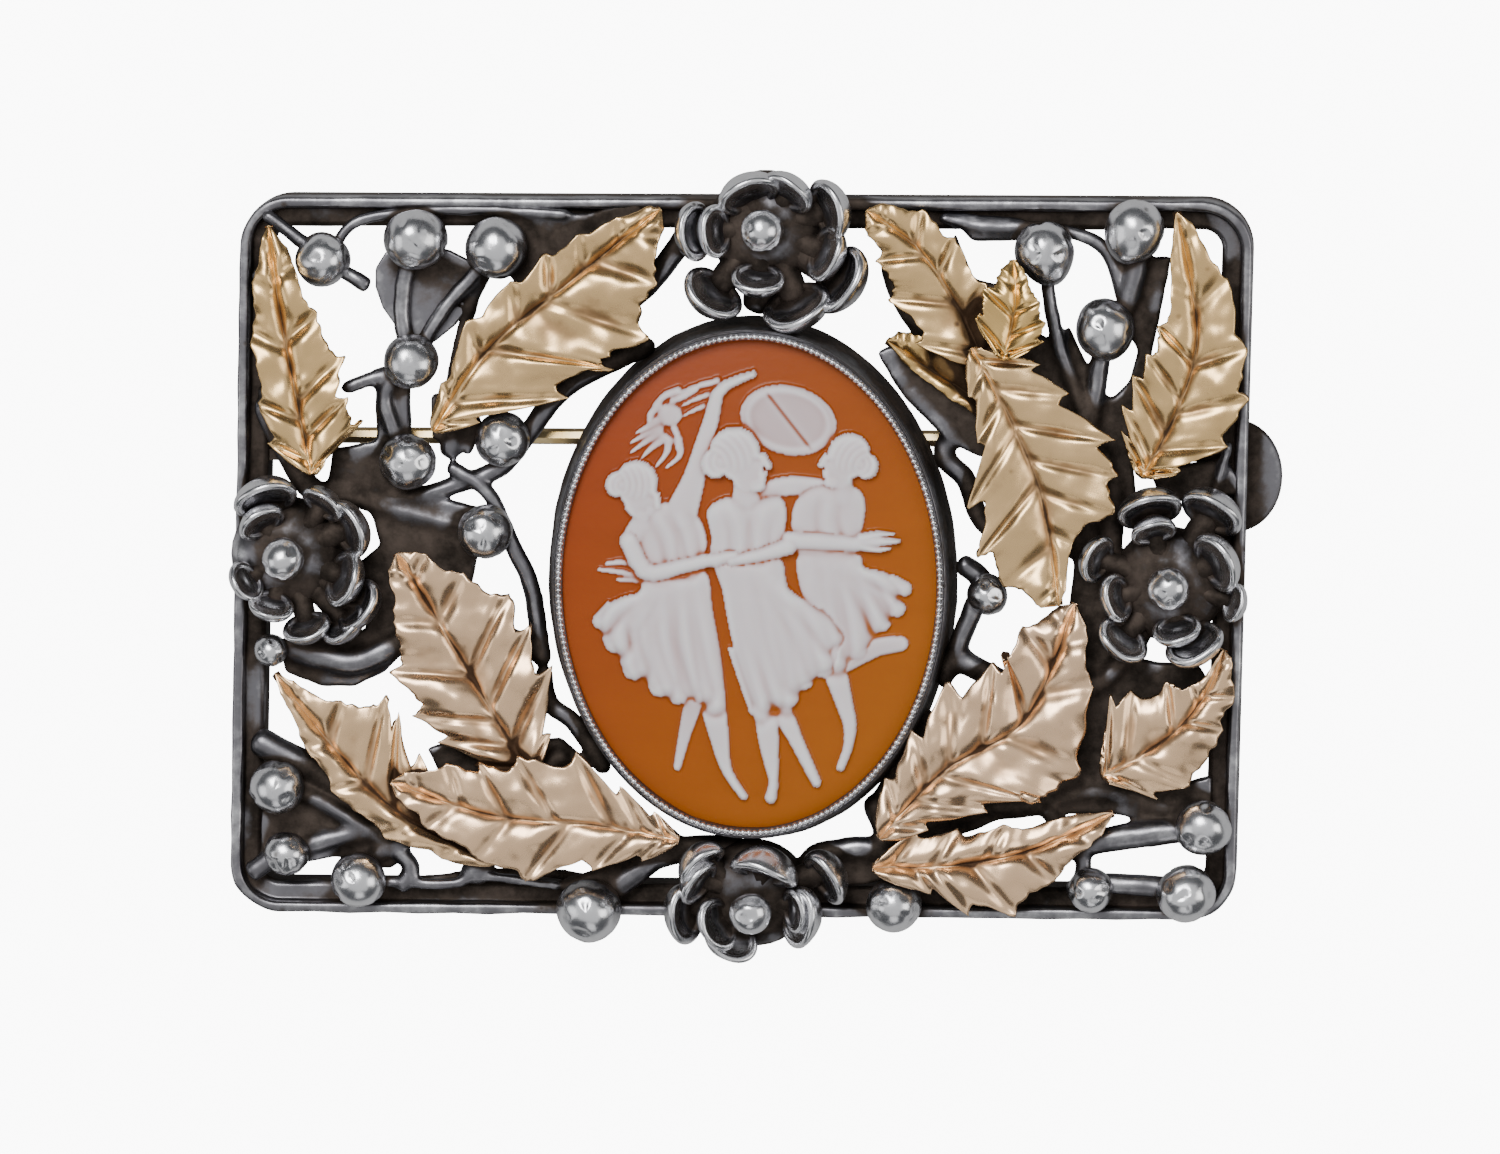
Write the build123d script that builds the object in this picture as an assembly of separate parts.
from build123d import *
import math
import os

# A rectangular openwork cameo brooch, lying on its back with its face up (+Z) and its top edge at +Y.
# A silver rail holds cast berries on bent wire stems, four silver flowers, gold leaves and, off centre,
# an oval shell cameo in a bezel. A hinged pin runs behind it, inside the depth of the rail.

os.makedirs("parts", exist_ok=True)

# Driving sizes in millimetres.
frame_width = 54.0
frame_height = 38.6
frame_lean = 0.42          # how far the top edge is pushed right of the middle, and the bottom edge left
rail_slide = -0.15         # the rail sits this far right of the openwork's middle
rail_drop = 0.3            # and this far below it
corner_radius = 2.7
rail_width = 1.7
rail_depth = 3.2
lip_width = 0.65           # the raised outer lip of the rail
ledge_height = 2.4         # the lower shelf inside the lip

cameo_width = 20.3
cameo_height = 26.5
cameo_shift = 0.6          # the cameo's centre from the frame's, to the right
cameo_drop = 1.45          # and below it
cameo_seat = 2.6           # height of the cameo's back
cameo_edge = 2.3           # thickness of the shell at the crown of its edge
dome_radius = 100.0        # the shell's face is a shallow dome
relief_step = 0.28         # the carving rises in this many millimetres a level

fit_gap = 0.05             # clearance round the cameo and between the small pin parts
bezel_base = 1.6           # height of the bezel's foot, above the pin
bezel_flare = 0.55         # how much wider the bezel's foot is than its rim
bezel_wall = 0.35          # wall at the rim
bezel_ledge = 0.9          # width of the bearing under the cameo
rim_cover = 0.2            # how far the rim is rubbed over the cameo's edge
rim_lip = 0.45             # height of the rim above the edge of the shell

berry_radius = 1.5
berry_height = 3.9
wire_radius = 0.42
wire_height = 3.0
wire_turn = 7.0            # how far the bars' flats are turned, so that no two lie in one plane
web_back = 2.2             # height of the back of the flat cast webs
web_thickness = 0.9
back_leaf_thickness = 0.7

flower_radius = 4.2
flower_ball = 1.15
petal_radius = 1.4
petal_height = 4.5
petal_scoop = 0.62         # how far above a petal's middle its hollow is centred, as a share of its radius
petal_hollow = 0.98        # radius of the hollow, as a share of the petal's
petal_lean = 28.0          # how far a petal leans towards the flower's ball
petal_fall = 0.75          # how fast the outer petals stand lower, as a share of petal_radius
flower_waist = 0.4         # the flower's cone: half width at its top and foot as shares of flower_radius
flower_base = 0.72
flower_foot = 2.5          # height of the foot of a flower's base, sunk in the stems

leaf_floor = 4.3           # height of the lowest leaf's rib
leaf_step = 0.9            # from one layer of leaves to the next
leaf_thickness = 0.4
leaf_puff = 0.3            # how far the blade swells beside the rib
vein_slant = 35.0          # angle of the side veins from square to the rib

pin_radius = 0.45
pin_line = 6.3             # height of the pin up the face, from the frame's centre
pin_depth = 0.75           # height of the pin wire's axis above the back
pivot_depth = 1.1          # height of the hinge axis above the back
pivot_inset = 1.3          # from the rail to the hinge axis
knuckle_radius = 0.95
knuckle_width = 1.2
rivet_radius = 0.35
rivet_head = 0.6
rivet_head_height = 0.25
ear_thickness = 0.6
catch_length = 1.5
catch_cheek = 0.5
catch_height = 2.0
solder_depth = 0.4         # how far a fitting is sunk in the rail
tab_reach = 1.85           # the tab soldered outside the right-hand rail
tab_height = 6.0
tab_thickness = 0.8
tab_line = 4.4
tab_back = 0.2

WIRE_SIDES = 8

half_width = frame_width / 2
half_height = frame_height / 2
foot_half_width = cameo_width / 2 + bezel_wall + bezel_flare - fit_gap
foot_half_height = cameo_height / 2 + bezel_wall + bezel_flare - fit_gap
opening_half_width = half_width - rail_width
opening_half_height = half_height - rail_width
cameo_half_width = cameo_width / 2
cameo_half_height = cameo_height / 2
view_half_width = cameo_half_width - rim_cover
view_half_height = cameo_half_height - rim_cover
dome_sag = dome_radius - math.sqrt(dome_radius ** 2 - cameo_half_width ** 2)


def leaned(x, y):
    """Moves a point of the upright layout to the slightly leaning frame."""
    return x + frame_lean * y / half_height, y


def railed(x, y):
    """The same for the rail and its fittings, which sit a little left of and below the openwork."""
    x, y = leaned(x, y)
    return x + rail_slide, y - rail_drop


cameo_x, cameo_y = leaned(cameo_shift, -cameo_drop)


def spot(bearing, reach, z):
    """A point at a bearing round the cameo, clockwise from the top, at a share of the way to the rail."""
    across = math.sin(math.radians(bearing))
    up = math.cos(math.radians(bearing))
    near = 1 / math.hypot(across / foot_half_width, up / foot_half_height)
    side = opening_half_width - math.copysign(cameo_shift, across)
    end = opening_half_height + math.copysign(cameo_drop, up)
    far = min(side / max(abs(across), 1e-6), end / max(abs(up), 1e-6))
    distance = near + reach * (far - near)
    x, y = leaned(distance * across + cameo_shift, distance * up - cameo_drop)
    return Vector(x, y, z)


def rod(start, end, start_radius, end_radius):
    """A straight eight-sided bar, tapered if its radii differ."""
    plane = Plane(origin=start, z_dir=end - start)
    angles = [math.radians(360 * i / WIRE_SIDES + wire_turn) for i in range(WIRE_SIDES)]
    way = (end - start).normalized()
    spokes = [plane.x_dir * math.cos(a) + plane.y_dir * math.sin(a) for a in angles]
    low = [start + spoke * start_radius for spoke in spokes]
    high = [low_end + way * (end - start).length + spoke * (end_radius - start_radius)
            for low_end, spoke in zip(low, spokes)]
    outlines = [low, high]
    for i in range(WIRE_SIDES):
        following = (i + 1) % WIRE_SIDES
        outlines.append([low[i], low[following], high[following], high[i]])
    return closed_solid(outlines)


def closed_solid(outlines):
    """A solid from the flat outlines of all its faces."""
    return Solid(Shell([Face(Wire.make_polygon(corners, close=True)) for corners in outlines]))


def bent_wire(points, radii):
    """One eight-sided bar along the points, mitred at each bend."""
    ways = [(b - a).normalized() for a, b in zip(points, points[1:])]
    start = Plane(origin=points[0], z_dir=ways[0])
    angles = [math.radians(360 * i / WIRE_SIDES + wire_turn) for i in range(WIRE_SIDES)]
    spokes = [(start.x_dir * math.cos(a) + start.y_dir * math.sin(a)) * radii[0] for a in angles]
    rings = [[points[0] + spoke for spoke in spokes]]
    for number in range(1, len(points)):
        arriving = ways[number - 1]
        leaving = ways[min(number, len(ways) - 1)]
        facing = (arriving + leaving).normalized()
        grow = radii[number] / radii[number - 1]
        spokes = [spoke * grow for spoke in spokes]
        spokes = [spoke - arriving * (spoke.dot(facing) / arriving.dot(facing)) for spoke in spokes]
        rings.append([points[number] + spoke for spoke in spokes])
        spokes = [spoke - leaving * spoke.dot(leaving) for spoke in spokes]
    outlines = [rings[0], rings[-1]]
    for low, high in zip(rings, rings[1:]):
        for i in range(WIRE_SIDES):
            following = (i + 1) % WIRE_SIDES
            outlines.append([low[i], low[following], high[following]])
            outlines.append([low[i], high[following], high[i]])
    return closed_solid(outlines)


def rail_plan(inset):
    """The frame's rounded outline, moved in by an inset."""
    x = half_width - inset
    y = half_height - inset
    corners = [railed(-x, y), railed(x, y), railed(x, -y), railed(-x, -y)]
    plan = make_face(Polyline(*corners, close=True))
    return fillet(plan.vertices(), corner_radius - inset)


def rail():
    """The outer frame: a raised round lip outside a lower shelf."""
    band = extrude(rail_plan(0), rail_depth) - extrude(rail_plan(rail_width), rail_depth)
    band -= Pos(0, 0, ledge_height) * extrude(rail_plan(lip_width), rail_depth)
    crest = band.edges().filter_by_position(Axis.Z, rail_depth - 0.01, rail_depth + 0.01)
    return fillet(crest, lip_width * 0.45)


# Stems between the rail, the berries and the bezel. The thickness is a share of wire_radius, the rise is
# above wire_height in millimetres, and each place is a bearing round the cameo and a reach to the rail.
# name: (thickness at start, at end, rise, places)
STEMS = {
    "rail loop": (0.8, 0.8, 0.0, [(306.5, 0.83), (311.5, 1.0), (317.5, 1.06), (323.5, 1.08), (333, 1.06)]),
    "first berry": (0.9, 1.1, 0.1, [(306.5, 1.05), (306.5, 0.83), (307, 0.71)]),
    "second berry": (1.2, 1.2, 0.2, [(314.5, 0.91), (307.5, 0.62), (302, 0.53)]),
    "third berry": (1.1, 1.1, 0.2, [(322, 0.85), (311, 0.59), (302, 0.53)]),
    "third berry back": (0.9, 1.0, -0.3, [(322, 0.85), (313.5, 0.58), (301, 0.4)]),
    "fourth to fifth": (1.1, 1.1, 0.1, [(302, 0.53), (296, 0.61), (288.5, 0.51)]),
    "fourth outward": (0.9, 1.0, 0.0, [(294.5, 0.76), (302, 0.53)]),
    "leaf base": (1.4, 1.4, -0.2, [(309, 0.42), (291.5, 0.38)]),
    "bezel upper left": (1.5, 1.1, -0.2, [(337, 0.05), (317, 0.15), (303.5, 0.14), (294, 0.2), (286, 0.39),
                                          (281.5, 0.6)]),
    "seventh berry": (1.3, 1.1, -0.2, [(281.5, 0.82), (281, 0.6), (280, 0.23)]),
    "long curve": (0.9, 1.3, 0.1, [(290.5, 0.38), (288, 0.23), (278.5, 0.13), (267.5, 0.05), (247, 0.04)]),
    "bezel lower left": (1.2, 1.2, -0.1, [(247, 0.04), (238, 0.05), (230.5, 0.01), (215.5, 0.01)]),
    "left flower web": (1.9, 1.4, 0.0, [(262, 0.95), (258, 0.69), (260, 0.47), (258, 0.2), (250, 0.03)]),
    "eighth berry": (1.2, 1.2, 0.1, [(246, 1.05), (246, 0.95), (240.5, 0.76), (230, 0.89), (228, 1.08)]),
    "ninth berry": (1.4, 1.4, 0.0, [(239, 1.05), (239, 0.93), (236, 0.74), (224, 0.62)]),
    "tenth berry": (1.3, 1.3, 0.1, [(231.5, 1.06), (233, 0.8), (229, 0.5), (226, 0.1)]),
    "bottom wire": (0.8, 0.7, 0.2, [(231.5, 1.02), (224, 1.04), (221.5, 0.98), (210.5, 1.08)]),
    "bottom wire low": (0.7, 0.7, -0.7, [(228, 1.04), (216.5, 0.96), (206, 1.04)]),
    "bottom branch": (1.2, 2.0, 0.0, [(210.5, 1.11), (203, 0.89), (193.5, 0.4), (180, 0.19)]),
    "bottom left web": (2.0, 1.6, 0.0, [(204, 1.15), (199, 0.7), (196, 0.05)]),
    "bottom flower neck": (2.2, 2.2, 0.0, [(179, 1.2), (180, 0.5), (180, 0.03)]),
    "right bottom web": (1.6, 1.6, 0.0, [(168, 0.9), (165, 0.5), (153.5, 0.61), (152, 1.1)]),
    "right long web": (1.5, 1.3, -0.2, [(153, 0.7), (151, 0.49), (137, 0.46), (127, 0.52), (119.5, 0.67),
                                        (118, 1.04)]),
    "right bezel foot": (1.6, 1.6, -0.2, [(151, 0.49), (150, 0.03)]),
    "right middle web": (1.6, 1.6, -0.1, [(127, 0.52), (114, 0.3), (110, 0.0)]),
    "twelfth berry": (1.1, 1.1, 0.2, [(131.5, 1.06), (131.5, 0.98), (129, 0.81), (127, 0.52)]),
    "corner berry": (1.5, 1.3, 0.0, [(124, 1.04), (129.5, 1.0), (134, 1.06)]),
    "side berry": (1.7, 1.7, 0.1, [(118, 0.99), (125, 0.74), (130.5, 0.78)]),
    "upper right stem": (0.9, 1.1, 0.2, [(40.5, 0.86), (49.5, 0.51), (65.5, 0.52)]),
    "upper right stem two": (1.3, 1.3, 0.1, [(54, 0.59), (65.5, 0.52)]),
    "corner stem": (1.6, 1.1, 0.2, [(46.5, 1.04), (52.5, 0.67), (54, 0.59)]),
    "arch": (0.7, 1.1, 0.0, [(26, 1.06), (32, 0.99), (40, 0.98), (46, 0.88), (52, 0.67)]),
    "top right web": (1.7, 1.7, -0.55, [(22, 1.08), (24, 0.6), (36, 0.3), (50, 0.25), (65.5, 0.52)]),
    "right flower web": (1.7, 1.7, -0.1, [(65.5, 0.52), (76, 0.6), (86, 0.6), (89.7, 0.83)]),
    "right outer wire": (0.7, 0.7, 0.3, [(73, 1.04), (80, 0.99), (84, 1.04)]),
    "bezel upper right": (1.5, 1.1, -0.55, [(50, 0.25), (55, 0.03), (64.5, 0.07), (76, 0.11), (82, 0.3),
                                           (86, 0.6)]),
    "bezel right": (1.5, 1.3, 0.0, [(84, 0.0), (90, 0.1), (98, 0.06), (119, 0.01)]),
    "right flower foot": (1.5, 1.5, 0.0, [(89.7, 0.83), (104.5, 0.6), (114, 0.3)]),
    "right flower rail": (1.7, 1.7, 0.0, [(92, 0.8), (92, 1.05)]),
    "left flower rail": (1.7, 1.7, 0.0, [(273, 0.8), (273, 1.05)]),
    "left flower top": (1.7, 1.5, 0.0, [(273, 0.93), (279, 0.8), (283, 0.9), (290, 1.04)]),
    "top left web": (1.5, 1.5, -0.1, [(350, 1.08), (345, 0.7), (335, 0.4), (318, 0.36), (309, 0.42)]),
    "top flower neck": (2.2, 2.2, 0.0, [(1, 1.08), (1, 0.5), (0, 0.03)]),
    "left leaf arm": (1.5, 1.3, 0.0, [(302, 1.05), (295, 0.9), (290, 1.04)]),
    "lower left plate": (1.9, 1.9, -0.2, [(252, 1.05), (245, 0.8), (236, 0.62), (226, 0.66), (222, 1.04)]),
}

# Flat cast webs between the stems, under the leaves. name: corners as bearing and reach
WEBS = {
    "behind four": [(299, 0.65), (301.5, 0.54), (292, 0.51), (289.5, 0.63)],
    "above six": [(299.5, 0.46), (303.5, 0.34), (299, 0.28), (293.5, 0.31), (293.5, 0.44)],
    "left of five": [(287, 0.78), (290.5, 0.61), (284, 0.52), (281.5, 0.64), (280.5, 0.8)],
    "below seven": [(282.5, 0.66), (283, 0.52), (284.5, 0.34), (284.5, 0.21), (282.5, 0.15), (274.5, 0.25),
                    (268.5, 0.27), (260.5, 0.5), (261.5, 0.64), (272, 0.68), (275, 0.6)],
    "below left flower": [(261.5, 0.95), (262, 0.78), (262.5, 0.54), (258, 0.51), (255.5, 0.58),
                          (254.5, 0.68), (255.5, 0.8), (258.5, 0.94)],
    "left centre": [(242, 0.45), (240.5, 0.3), (234, 0.2), (229.5, 0.09), (220, 0.06), (222.5, 0.24),
                    (230.5, 0.37), (237, 0.44)],
    "lower left": [(249, 0.88), (244.5, 0.78), (235.5, 0.72), (230.5, 0.88), (230.5, 0.95), (235.5, 0.89),
                   (237, 0.93), (240.5, 0.91), (246.5, 0.92)],
    "top left": [(324.5, 1.06), (335, 1.08), (342.5, 1.21), (343, 0.9), (328, 0.63), (320.5, 0.6),
                 (321, 0.79)],
    "top right": [(28.5, 0.98), (35.5, 0.66), (40, 0.66), (44, 0.6), (48, 0.48), (51, 0.46), (55.5, 0.43),
                  (52.5, 0.23), (39, 0.37)],
    "below eighteen": [(50.5, 0.44), (50.5, 0.53), (57.5, 0.53), (63, 0.6), (67, 0.58), (64.5, 0.43),
                       (58.5, 0.38)],
    "below sixteen": [(48, 0.84), (51.5, 0.86), (55, 0.79), (59.5, 0.75), (65.5, 0.74), (69, 0.69),
                      (67, 0.57), (63, 0.58), (61.5, 0.67), (58.5, 0.7), (55.5, 0.66)],
    "above right flower": [(74, 0.74), (75, 1.03), (79.5, 1.11), (79, 0.78)],
    "below right flower": [(101.5, 0.64), (100.5, 0.95), (104.5, 1.04), (111, 0.88), (119, 0.68),
                           (121.5, 0.53), (114, 0.47), (107, 0.49), (105, 0.62)],
    "lower right": [(150, 0.51), (141, 0.36), (128, 0.37), (119, 0.54), (119, 0.67), (118, 0.89),
                    (120.5, 0.79), (122, 0.68), (126.5, 0.59), (133.5, 0.57), (142, 0.64), (148.5, 0.71)],
    "below the bezel": [(170, 0.51), (162, 0.36), (155.5, 0.57), (150.5, 0.78), (155, 1.0), (161, 1.07),
                        (168, 1.17), (171.5, 1.05)],
    "by the bezel": [(27.5, 0.07), (31.5, 0.24), (39.5, 0.3), (53, 0.23), (60.5, 0.21), (61.5, 0.14),
                     (54, 0.05), (39, 0.0)],
    "right of the bezel": [(148.5, 0.03), (136.5, -0.02), (125, -0.02), (126.5, 0.05), (139, 0.13),
                           (149.5, 0.46), (153, 0.39)],
    "left of right flower": [(65.5, 0.47), (68.5, 0.67), (78, 0.69), (81.5, 0.55), (86.5, 0.59), (100, 0.61),
                             (107, 0.52), (97, 0.43), (86.5, 0.45), (79, 0.43)],
    "below far right leaf": [(117.5, 0.78), (112.5, 1.01), (115.5, 1.01), (118.5, 0.89)],
    "left of nine": [(244.5, 0.88), (244.5, 1.01), (240.5, 1.01), (239.5, 0.9)],
    "top right shelf": [(26.5, 1.1), (36, 1.04), (38, 0.91), (32, 0.89)],
}

# Cast balls. name: (bearing, reach, radius as a share of berry_radius)
BERRIES = {
    "one": (306.5, 0.84, 1.0),
    "two": (315, 0.92, 1.13),
    "three": (322, 0.86, 1.13),
    "four": (302.5, 0.53, 1.0),
    "five": (289, 0.51, 1.03),
    "six": (299.5, 0.21, 1.0),
    "seven": (280.5, 0.22, 1.0),
    "under left flower": (261.5, 0.98, 0.6),
    "eight": (246, 0.95, 1.0),
    "nine": (239, 0.92, 0.82),
    "ten": (232, 1.0, 1.0),
    "eleven": (205, 1.39, 1.17),
    "twelve": (155, 1.28, 1.0),
    "thirteen": (131.5, 1.03, 0.82),
    "fourteen": (125, 1.04, 1.07),
    "fifteen": (118, 0.98, 1.03),
    "sixteen": (46.5, 0.99, 1.07),
    "seventeen": (40.5, 0.87, 1.07),
    "eighteen": (53.5, 0.59, 1.07),
    "by the bezel": (92.5, 0.12, 0.75),
}

# Petals as azimuth round the flower in degrees, distance as a share of flower_radius, and size as a share
# of petal_radius. name: (bearing, reach, tilt towards the viewer's bottom in degrees, petals)
FLOWERS = {
    "top": (1, 0.97, 0, [
        (182, 0.86, 0.97), (182, 0.6, 0.87), (113, 0.48, 1.03), (57, 0.56, 0.91), (17, 0.85, 1.03),
        (339, 0.83, 0.95), (326, 1.15, 1.2), (293, 1.06, 1.14), (264, 0.62, 0.87), (232, 1.04, 1.06)]),
    "left": (273, 0.93, 0, [
        (108, 0.77, 1.06), (123, 0.52, 0.8), (54, 0.83, 0.76), (24, 0.88, 1.0), (340, 0.8, 0.95),
        (255, 0.64, 0.75), (326, 1.12, 0.95), (311, 1.13, 0.85), (287, 0.94, 0.8), (213, 0.57, 0.72)]),
    "right": (90, 0.82, 0, [
        (104, 1.0, 1.06), (105, 0.72, 0.75), (60, 1.09, 1.06), (28, 0.68, 1.03), (192, 0.66, 0.8),
        (159, 0.96, 0.8), (282, 0.54, 0.8), (230, 0.88, 0.91), (295, 0.8, 1.0), (347, 0.85, 0.65)]),
    "bottom": (178.5, 1.25, 18, [
        (136, 0.86, 0.91), (152, 0.74, 0.84), (71, 0.55, 1.14), (23, 1.03, 1.0), (187, 0.85, 1.03),
        (207, 0.47, 0.91), (359, 0.55, 0.76), (238, 0.5, 0.95), (350, 0.62, 1.05)]),
}

# Gold leaves. The rib is four places as bearing and reach, the layers are the rib's heights at its base,
# middle and tip in steps of leaf_step, and each tooth is its place along the rib and how far it stands
# out, as shares of the leaf's length. name: (rib, layers, teeth on the left, teeth on the right)
LEAVES = {
    "left_top": (
        [(283.5, 0.84), (290.5, 0.89), (299, 0.96), (306, 1.01)], (0.6, 0.5, 0.0),
        [(0.10, 0.18), (0.29, 0.19), (0.56, 0.16), (0.75, 0.11), (0.88, 0.05)],
        [(0.02, 0.30), (0.21, 0.25), (0.37, 0.26), (0.58, 0.18), (0.79, 0.10)]),
    "upper_left": (
        [(295, 0.43), (311, 0.40), (328.5, 0.63), (345.5, 1.16)], (0.4, 0.7, 0.3),
        [(0.14, 0.07), (0.30, 0.13), (0.46, 0.14), (0.59, 0.14), (0.71, 0.12), (0.83, 0.08), (0.93, 0.04)],
        [(0.05, 0.14), (0.14, 0.37), (0.34, 0.39), (0.57, 0.35), (0.75, 0.21), (0.88, 0.09)]),
    "top_right": (
        [(47, 0.30), (35.5, 0.52), (25.5, 0.83), (16, 1.15)], (0.0, 0.2, 0.1),
        [(0.10, 0.33), (0.34, 0.35), (0.62, 0.24), (0.83, 0.12)],
        [(0.08, 0.16), (0.26, 0.22), (0.50, 0.21), (0.69, 0.19), (0.84, 0.11)]),
    "top_right_over": (
        [(47.5, 0.36), (45, 0.47), (42, 0.62), (38, 0.82)], (1.7, 1.6, 1.3),
        [(0.12, 0.48), (0.50, 0.42), (0.78, 0.20)],
        [(0.10, 0.42), (0.30, 0.40), (0.55, 0.28), (0.78, 0.15)]),
    "by_the_bezel": (
        [(62, 0.23), (50.5, 0.18), (38.5, 0.17), (28, 0.17)], (-0.75, -0.75, -0.7),
        [(0.10, 0.08), (0.42, 0.12), (0.71, 0.08)],
        [(0.12, 0.24), (0.38, 0.30), (0.64, 0.26), (0.84, 0.13)]),
    "centre_right": (
        [(42, 0.36), (57, 0.26), (73.5, 0.34), (93.5, 0.40)], (0.85, 1.2, 1.0),
        [(0.08, 0.23), (0.20, 0.27), (0.35, 0.39), (0.50, 0.35), (0.63, 0.28), (0.76, 0.10), (0.88, 0.05)],
        [(0.12, 0.12), (0.25, 0.19), (0.38, 0.33), (0.60, 0.35), (0.80, 0.23), (0.92, 0.10)]),
    "right_top": (
        [(74.5, 0.71), (67.5, 0.84), (60, 0.91), (48, 1.08)], (0.2, 0.3, 0.6),
        [(0.03, 0.18), (0.11, 0.23), (0.23, 0.25), (0.38, 0.22), (0.55, 0.19), (0.77, 0.09)],
        [(0.04, 0.14), (0.16, 0.27), (0.32, 0.27), (0.54, 0.21), (0.74, 0.16), (0.89, 0.07)]),
    "right_lower": (
        [(152, 0.43), (133, 0.20), (115, 0.32), (93, 0.46)], (1.3, 1.2, 0.2),
        [(0.12, 0.14), (0.25, 0.19), (0.36, 0.27), (0.48, 0.29), (0.66, 0.23), (0.81, 0.16), (0.91, 0.07)],
        [(0.09, 0.12), (0.20, 0.25), (0.31, 0.34), (0.57, 0.27), (0.74, 0.17), (0.86, 0.09)]),
    "far_right_lower": (
        [(118.5, 0.60), (110, 0.83), (103.5, 0.97), (97.5, 1.04)], (0.1, 0.2, 0.0),
        [(0.02, 0.48), (0.14, 0.40), (0.38, 0.28), (0.60, 0.12), (0.82, 0.04)],
        [(0.04, 0.33), (0.18, 0.36), (0.46, 0.22), (0.66, 0.18), (0.86, 0.08)]),
    "bottom_right": (
        [(155.5, 0.73), (144, 0.80), (132.5, 0.74), (121.5, 0.66)], (0.95, 0.4, 0.0),
        [(0.11, 0.19), (0.28, 0.18), (0.50, 0.16), (0.76, 0.10)],
        [(0.20, 0.13), (0.27, 0.25), (0.42, 0.29), (0.63, 0.18), (0.82, 0.09)]),
    "bottom_left": (
        [(194, 0.09), (212, 0.37), (227.5, 0.53), (240.5, 0.56)], (1.2, 1.3, 1.2),
        [(0.08, 0.12), (0.21, 0.19), (0.41, 0.27), (0.60, 0.19), (0.77, 0.13), (0.89, 0.06)],
        [(0.08, 0.10), (0.17, 0.18), (0.27, 0.29), (0.46, 0.26), (0.62, 0.21), (0.76, 0.16), (0.88, 0.08)]),
    "left_centre": (
        [(226, 0.31), (241.5, 0.21), (258, 0.33), (274.5, 0.53)], (0.0, 0.2, 0.4),
        [(0.10, 0.20), (0.20, 0.29), (0.31, 0.33), (0.52, 0.31), (0.74, 0.18), (0.88, 0.09)],
        [(0.05, 0.19), (0.20, 0.34), (0.38, 0.36), (0.54, 0.36), (0.74, 0.22), (0.88, 0.11)]),
    "far_left_lower": (
        [(221, 0.85), (236, 0.62), (247.5, 0.75), (259, 0.97)], (-0.2, 0.1, 0.0),
        [(0.14, 0.09), (0.28, 0.12), (0.50, 0.12), (0.70, 0.09), (0.85, 0.04)],
        [(0.10, 0.14), (0.24, 0.26), (0.36, 0.34), (0.50, 0.32), (0.70, 0.15), (0.85, 0.06)]),
}

# The carving, as shares of the shell's visible half width and half height, up and to the right of its
# centre. A limb's row is its level, its width at both ends as a share of the half width, and its places.
# A body's row is its level and the places that its outline passes through.
LIMBS = {
    "left raised arm": (2, 0.17, 0.05, [(-0.40, 0.26), (-0.29, 0.46), (-0.19, 0.69), (0.01, 0.86)]),
    "left linking arm": (3, 0.12, 0.06, [(-0.62, 0.17), (-0.49, 0.05), (-0.21, 0.12), (0.20, 0.14)]),
    "left leg": (2, 0.20, 0.07, [(-0.24, -0.42), (-0.17, -0.64), (-0.09, -0.86)]),
    "left rear leg": (1, 0.16, 0.06, [(-0.28, -0.44), (-0.41, -0.75)]),
    "left neck": (2, 0.12, 0.12, [(-0.58, 0.36), (-0.54, 0.27)]),
    "centre leg": (3, 0.16, 0.06, [(0.07, -0.48), (0.10, -0.72), (0.12, -0.88)]),
    "centre rear leg": (2, 0.15, 0.06, [(0.19, -0.48), (0.36, -0.82)]),
    "centre neck": (3, 0.14, 0.16, [(-0.02, 0.50), (-0.01, 0.34)]),
    "right arm": (3, 0.12, 0.03, [(0.24, 0.18), (0.51, 0.18), (0.79, 0.19)]),
    "right back arm": (1, 0.07, 0.09, [(0.08, 0.38), (0.44, 0.41)]),
    "right rear leg": (1, 0.14, 0.07, [(0.46, -0.31), (0.83, -0.23)]),
    "right leg": (2, 0.18, 0.06, [(0.46, -0.33), (0.55, -0.60), (0.49, -0.75)]),
    "right neck": (2, 0.12, 0.12, [(0.53, 0.50), (0.51, 0.38)]),
    "scarf": (1, 0.06, 0.03, [(-0.56, 0.09), (-0.69, 0.06), (-0.83, 0.08)]),
    "garland": (1, 0.06, 0.05, [(-0.17, 0.83), (-0.34, 0.79), (-0.43, 0.70), (-0.64, 0.54)]),
    "garland end": (1, 0.07, 0.04, [(-0.43, 0.70), (-0.41, 0.57), (-0.48, 0.46)]),
}
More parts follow.
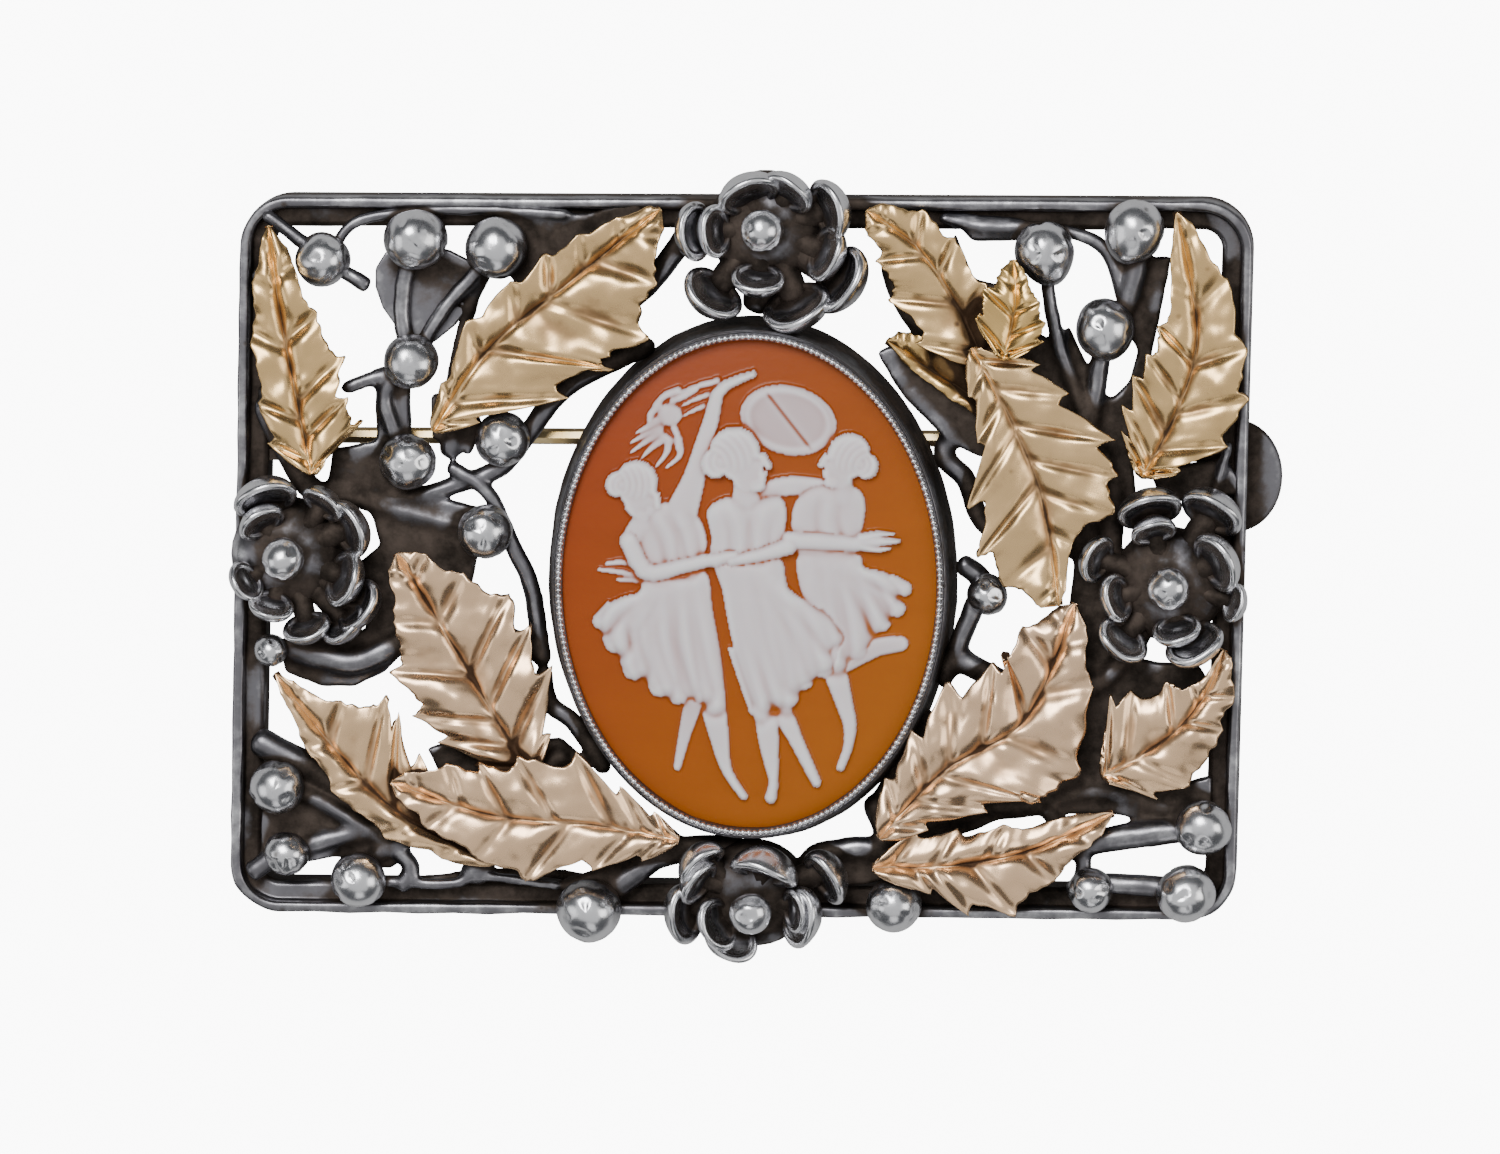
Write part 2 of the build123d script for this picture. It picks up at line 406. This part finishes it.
BODIES = {
    "left torso": (2, [(-0.60, 0.29), (-0.40, 0.32), (-0.22, 0.24), (-0.25, 0.05), (-0.55, 0.0),
                       (-0.62, 0.14)]),
    "left skirt": (2, [(-0.56, 0.03), (-0.24, 0.08), (-0.17, -0.15), (-0.14, -0.38), (-0.28, -0.50),
                       (-0.48, -0.46), (-0.66, -0.37), (-0.80, -0.20), (-0.68, -0.08)]),
    "centre torso": (3, [(-0.22, 0.32), (0.0, 0.39), (0.21, 0.34), (0.16, 0.12), (-0.14, 0.12)]),
    "centre skirt": (3, [(-0.15, 0.15), (0.18, 0.15), (0.28, -0.02), (0.45, -0.15), (0.44, -0.32),
                         (0.24, -0.46), (0.10, -0.68), (-0.02, -0.40), (-0.12, -0.15)]),
    "right torso": (2, [(0.24, 0.36), (0.42, 0.43), (0.62, 0.36), (0.58, 0.12), (0.28, 0.12)]),
    "right skirt": (2, [(0.27, 0.15), (0.58, 0.15), (0.70, 0.05), (0.85, -0.05), (0.74, -0.18),
                        (0.50, -0.36), (0.33, -0.20), (0.26, -0.03)]),
}
# Ovals of the carving. name: (level, place, half width, half height as a share of the half width, turn)
OVALS = {
    "left head": (2, (-0.60, 0.39), 0.13, 0.15, 0),
    "left bun": (1, (-0.71, 0.36), 0.09, 0.09, 0),
    "centre head": (3, (-0.01, 0.55), 0.14, 0.17, 0),
    "centre bun": (2, (-0.13, 0.53), 0.10, 0.10, 0),
    "right head": (2, (0.50, 0.53), 0.12, 0.15, 0),
    "right bun": (1, (0.61, 0.51), 0.09, 0.09, 0),
    "tambourine": (1, (0.21, 0.68), 0.26, 0.17, -12),
    "garland flower": (2, (-0.43, 0.70), 0.08, 0.08, 0),
}


def oval_block(x_half, y_half, bottom, top):
    """An upright oval block on the cameo's centre."""
    return Pos(cameo_x, cameo_y, bottom) * extrude(Ellipse(x_half, y_half), top - bottom)


def dome(rise):
    """A great ball whose top is the shell's face, moved up by a rise."""
    crown = cameo_seat + cameo_edge + dome_sag
    return Pos(cameo_x, cameo_y, crown + rise - dome_radius) * Sphere(dome_radius)


def carved_at(place):
    """A place on the shell in millimetres, from shares of its visible halves."""
    return place[0] * view_half_width, place[1] * view_half_height


def limb_plan(start_width, end_width, places):
    """A flat tapering limb through its places, with round ends."""
    points = [Vector(*carved_at(place)) for place in places]
    last = len(points) - 1
    plan = Sketch()
    widths = [start_width + (end_width - start_width) * i / last for i in range(last + 1)]
    halves = [view_half_width * width / 2 for width in widths]
    for number in range(last):
        start, end = points[number], points[number + 1]
        side = (end - start).normalized().rotate(Axis.Z, 90)
        corners = [start + side * halves[number], end + side * halves[number + 1],
                   end - side * halves[number + 1], start - side * halves[number]]
        plan += make_face(Polyline(*corners, close=True))
    for point, half in zip(points, halves):
        plan += Pos(point) * Circle(half * 1.01)
    return plan


def relief():
    """The carved figures, level by level, each level cut off by the dome a step higher."""
    levels = {}
    for level, start_width, end_width, places in LIMBS.values():
        levels.setdefault(level, []).append(limb_plan(start_width, end_width, places))
    for level, places in BODIES.values():
        outline = Spline(*[carved_at(place) for place in places], periodic=True)
        levels.setdefault(level, []).append(make_face(outline))
    for level, place, half_wide, half_high, turn in OVALS.values():
        oval = Ellipse(half_wide * view_half_width, half_high * view_half_width, rotation=turn)
        levels.setdefault(level, []).append(Pos(*carved_at(place)) * oval)
    carved = []
    for level, plans in sorted(levels.items()):
        plan = Sketch() + plans
        block = Pos(cameo_x, cameo_y, cameo_seat + cameo_edge / 2) * extrude(plan, 2 * cameo_edge)
        carved.append(block & dome(level * relief_step))
    return carved


def cameo():
    """The shell: an oval with a domed face, and the figures standing on it."""
    shell = oval_block(cameo_half_width, cameo_half_height, cameo_seat, cameo_seat + 2 * cameo_edge)
    shell = shell & dome(0)
    for level in relief():
        shell += level
    return shell


def bezel():
    """The setting: a flared oval wall, a bearing under the shell, and a rim rubbed over its edge."""
    top = cameo_seat + cameo_edge + rim_lip
    rim_half_width = cameo_half_width + bezel_wall
    rim_half_height = cameo_half_height + bezel_wall
    foot = Pos(cameo_x, cameo_y, bezel_base) * Ellipse(foot_half_width, foot_half_height)
    shoulder = Pos(cameo_x, cameo_y, top - bezel_wall) * Ellipse(rim_half_width, rim_half_height)
    wall = loft([foot, shoulder], ruled=True)
    rim = oval_block(rim_half_width, rim_half_height, top - bezel_wall, top)
    rim = fillet(rim.edges().group_by(Axis.Z)[-1], bezel_wall * 0.6)
    return wall + rim


def bezel_hollow():
    """What is cut from the bezel: the shell's own seat with its clearance, and an opening front and back."""
    seat_half_width = cameo_half_width + fit_gap
    seat_half_height = cameo_half_height + fit_gap
    low = cameo_seat - fit_gap
    seat = oval_block(seat_half_width, seat_half_height, low, cameo_seat + 2 * cameo_edge)
    seat = seat & dome(fit_gap)
    front = oval_block(view_half_width, view_half_height, cameo_seat, cameo_seat + 3 * cameo_edge)
    back = oval_block(cameo_half_width - bezel_ledge, cameo_half_height - bezel_ledge, -1, cameo_seat)
    return [seat, front, back]


def petal(radius):
    """A cup open upwards: a ball with a scoop taken out of its top."""
    return Sphere(radius) - Pos(0, 0, radius * petal_scoop) * Sphere(radius * petal_hollow)


def flower(bearing, reach, tilt, petals):
    """A ball in a double ring of cupped petals, on a cast cone."""
    centre = spot(bearing, reach, flower_foot)
    low = petal_height - flower_foot
    cone = Cone(flower_radius * flower_base, flower_radius * flower_waist, low,
                align=(Align.CENTER, Align.CENTER, Align.MIN))
    pieces = [cone, Pos(0, 0, low + petal_radius * 0.75) * Sphere(flower_ball)]
    for azimuth, distance, size in petals:
        radius = petal_radius * size
        out = distance * flower_radius
        height = low + petal_radius * (0.35 - petal_fall * max(distance - 0.6, 0))
        cup = Pos(out, 0, height) * Rot(0, -petal_lean, 0) * petal(radius)
        pieces.append(Rot(0, 0, azimuth) * cup)
        hub = Vector(0, 0, low * 0.45)
        heel = Vector(out * math.cos(math.radians(azimuth)), out * math.sin(math.radians(azimuth)), height)
        pieces.append(rod(hub, heel - Vector(0, 0, radius * 0.7), radius * 0.62, radius * 0.5))
    place = Pos(centre) * Rot(tilt, 0, 0)
    return [place * piece for piece in pieces]


def curve_point(points, share):
    """A point on a smooth curve through the points."""
    spans = len(points) - 1
    span = min(int(share * spans), spans - 1)
    t = share * spans - span
    before = points[max(span - 1, 0)]
    start = points[span]
    end = points[span + 1]
    after = points[min(span + 2, spans)]
    bend = before * 2 - start * 5 + end * 4 - after
    turn = start * 3 - before - end * 3 + after
    return (start * 2 + (end - before) * t + bend * t ** 2 + turn * t ** 3) * 0.5


def edge_reach(teeth, along):
    """How far one edge of a leaf stands out: straight flanks up to each tooth, then a sharp drop."""
    outline = [(0.0, teeth[0][1] * 0.35)]
    for number, (place, reach) in enumerate(teeth):
        outline.append((place, reach))
        following = teeth[number + 1][0] if number + 1 < len(teeth) else 1.0
        outline.append((place + (following - place) * 0.3, reach * 0.7))
    outline.append((1.0, 0.0))
    for (start, low), (end, high) in zip(outline, outline[1:]):
        if start <= along <= end:
            return low + (high - low) * (along - start) / max(end - start, 1e-6)
    return 0.0


def leaf_stations(left, right):
    """Where the blade is cut across: at every tooth and every notch."""
    stations = {0.0}
    for teeth in (left, right):
        for number, (place, _) in enumerate(teeth):
            following = teeth[number + 1][0] if number + 1 < len(teeth) else 1.0
            stations.add(round(place, 3))
            stations.add(round(place + (following - place) * 0.3, 3))
    ordered = []
    for station in sorted(stations):
        if not ordered or station - ordered[-1] > 0.012:
            ordered.append(station)
    return ordered


def layer_height(layers, along):
    """The rib's height at a share of its length, by its base, middle and tip."""
    base, middle, tip = layers
    rise = base * (1 - along) * (1 - 2 * along) + tip * along * (2 * along - 1)
    rise += middle * 4 * along * (1 - along)
    return leaf_floor + leaf_step * rise


def leaf(rib, layers, left, right):
    """A thin toothed blade, folded along its rib and swelling on both sides of it."""
    places = [spot(bearing, reach, 0) for bearing, reach in rib]
    steps = [curve_point(places, i / 40) for i in range(41)]
    length = sum((b - a).length for a, b in zip(steps, steps[1:]))
    rows = []
    for along in leaf_stations(left, right):
        middle = curve_point(places, along)
        nearby = curve_point(places, max(along - 0.02, 0))
        ahead = (curve_point(places, min(along + 0.02, 1)) - nearby).normalized()
        height = layer_height(layers, along)
        row = [Vector(middle.X, middle.Y, height)]
        for teeth, turn in ((left, 90 - vein_slant), (right, vein_slant - 90)):
            way = ahead.rotate(Axis.Z, turn)
            reach = edge_reach(teeth, along) * length
            half = middle + way * (reach * 0.5)
            tip = middle + way * reach
            swell = min(leaf_puff, reach * 0.3)
            row.append(Vector(half.X, half.Y, height + swell))
            row.append(Vector(tip.X, tip.Y, height + swell * 0.2))
        rows.append([row[2], row[1], row[0], row[3], row[4]])
    tip = places[-1]
    point = Vector(tip.X, tip.Y, layer_height(layers, 1))
    return blade(rows, point)


def blade(rows, point):
    """A closed solid from rows of top points that end in one point, with an even upright thickness."""
    down = Vector(0, 0, -leaf_thickness)
    triangles = []

    def quad(a, b, c, d):
        triangles.append((a, b, c))
        triangles.append((a, c, d))

    for row, following in zip(rows, rows[1:]):
        for i in range(4):
            a, b, c, d = row[i], row[i + 1], following[i + 1], following[i]
            quad(a, b, c, d)
            quad(a + down, d + down, c + down, b + down)
        quad(row[0], following[0], following[0] + down, row[0] + down)
        quad(row[4], row[4] + down, following[4] + down, following[4])
    first, last = rows[0], rows[-1]
    for i in range(4):
        quad(first[i], first[i] + down, first[i + 1] + down, first[i + 1])
        triangles.append((last[i], last[i + 1], point))
        triangles.append((last[i] + down, point + down, last[i + 1] + down))
    quad(last[0], point, point + down, last[0] + down)
    quad(last[4], last[4] + down, point + down, point)
    return closed_solid(triangles)


def tab():
    """The half-oval tab outside the right-hand rail, behind the catch."""
    x, y = railed(half_width - lip_width, tab_line)
    plate = extrude(Ellipse(tab_reach + lip_width, tab_height / 2), tab_thickness)
    plate &= Pos(frame_width / 2, 0, 0) * Box(frame_width, frame_height, frame_width)
    return Pos(x, y, tab_back) * plate


def hinge_point():
    """The middle of the hinge's axis."""
    x, y = railed(-opening_half_width + pivot_inset, pin_line)
    return Vector(x, y, pivot_depth)


def ears():
    """Two ears on the left rail, bored for the rivet."""
    pivot = hinge_point()
    pieces = []
    for side in (-1, 1):
        middle = pivot.Y + side * (knuckle_width / 2 + fit_gap + ear_thickness / 2)
        arm = Pos(pivot.X - (pivot_inset + solder_depth) / 2, middle, pivot_depth) * Box(
            pivot_inset + solder_depth, ear_thickness, 2 * knuckle_radius)
        eye = Pos(pivot.X, middle, pivot_depth) * Rot(90, 0, 0) * Cylinder(knuckle_radius, ear_thickness)
        pieces += [arm, eye]
    return pieces


def rivet(clearance):
    """The hinge rivet, with a head outside each ear."""
    span = knuckle_width + 2 * (ear_thickness + 2 * fit_gap)
    place = Pos(hinge_point()) * Rot(90, 0, 0)
    if clearance:
        return place * Cylinder(rivet_radius + clearance, span * 1.2)
    shaft = Cylinder(rivet_radius, span + rivet_head_height)
    for side in (-1, 1):
        shaft += Pos(0, 0, side * (span + rivet_head_height) / 2) * Cylinder(rivet_head, rivet_head_height)
    return place * shaft


def catch():
    """A cheek above and below the pin's tip, joined over it, on the right rail."""
    x, y = railed(opening_half_width, pin_line)
    slot = 2 * (pin_radius + 2 * fit_gap)
    top = pin_depth + pin_radius + 2 * fit_gap
    block = Pos(x - (catch_length - solder_depth) / 2, y, catch_height / 2) * Box(
        catch_length + solder_depth, slot + 2 * catch_cheek, catch_height)
    block -= Pos(x - catch_length / 2, y, top / 2 - 0.5) * Box(catch_length, slot, top + 1)
    return block


def pin_stem():
    """The pin: an eye round the rivet, and a wire ground to a point that lies in the catch."""
    pivot = hinge_point()
    eye = Pos(pivot) * Rot(90, 0, 0) * Cylinder(knuckle_radius, knuckle_width)
    end_x = railed(opening_half_width, pin_line)[0] - catch_cheek / 2
    point_length = 6 * pin_radius
    start = Vector(pivot.X, pivot.Y, pin_depth)
    shoulder = Vector(end_x - point_length, pivot.Y, pin_depth)
    end = Vector(end_x, pivot.Y, pin_depth)
    stem = eye + rod(start, shoulder, pin_radius, pin_radius)
    stem += rod(shoulder, end, pin_radius, pin_radius * 0.2)
    return stem - Pos(pivot) * Rot(90, 0, 0) * Cylinder(rivet_radius + fit_gap, knuckle_width * 2)


def back_leaf():
    """A flat silver leaf behind the second berry, round at the top and pointed below."""
    top, bottom = spot(317, 0.86, 0), spot(303.5, 0.52, 0)
    length = (top - bottom).length
    outline = [(0.0, 0.0), (0.3, 0.42), (0.62, 0.6), (0.94, 0.42), (0.96, -0.2), (0.72, -0.36),
               (0.35, -0.25)]
    along = (top - bottom).normalized()
    across = along.rotate(Axis.Z, 90)
    corners = [bottom + along * (a * length) + across * (o * length) for a, o in outline]
    return Pos(0, 0, web_back) * extrude(make_face(Polyline(*corners, close=True)), back_leaf_thickness)


def webs():
    """The flat cast webs that fill the corners between the stems."""
    plans = [[spot(bearing, reach, web_back) for bearing, reach in corners] for corners in WEBS.values()]
    return [extrude(make_face(Polyline(*corners, close=True)), web_thickness) for corners in plans]


def stems():
    """Every bent wire."""
    pieces = []
    for start, end, rise, places in STEMS.values():
        last = len(places) - 1
        radii = [wire_radius * (start + (end - start) * i / last) for i in range(last + 1)]
        pieces.append(bent_wire([spot(b, r, wire_height + rise) for b, r in places], radii))
    return pieces


def berries():
    """The cast balls, each turned on its side so that its seam keeps clear of the stems."""
    return [Pos(spot(bearing, reach, berry_height)) * Rot(90, 0, 35) * Sphere(berry_radius * size)
            for bearing, reach, size in BERRIES.values()]


def soldered(body, pieces):
    """The body with the pieces fused to it."""
    return body.fuse(*pieces) if body else Part() + pieces


def silver():
    """All the soldered silver as one solid."""
    body = soldered(None, stems())
    body = soldered(body, webs())
    body = soldered(body, [rail(), tab(), catch(), back_leaf()])
    body = soldered(body, berries())
    for row in FLOWERS.values():
        body = soldered(body, [soldered(None, flower(*row))])
    body = soldered(body, ears())
    body = soldered(body, [bezel()])
    for hollow in bezel_hollow():
        body -= hollow
    return body - rivet(fit_gap)


def main():
    """Builds every piece and writes it with the back of the whole brooch centred on the origin."""
    built = {"silver_openwork": silver(), "cameo": cameo(), "hinge_rivet": rivet(0), "pin_stem": pin_stem()}
    for name, row in LEAVES.items():
        built["leaf_" + name] = leaf(*row)
    box = Compound(children=[Compound(solid.solids()) for solid in built.values()]).bounding_box()
    home = Pos(-(box.min.X + box.max.X) / 2, -(box.min.Y + box.max.Y) / 2, -box.min.Z)
    for name, solid in built.items():
        export_step(home * solid, f"parts/{name}.step")
    pivot = home * Pos(hinge_point())
    print("hinge axis", pivot.position, "cameo centre", (home * Pos(cameo_x, cameo_y, cameo_seat)).position)
    print("whole", box.size, "frame centre", home.position)


if __name__ == "__main__":
    main()
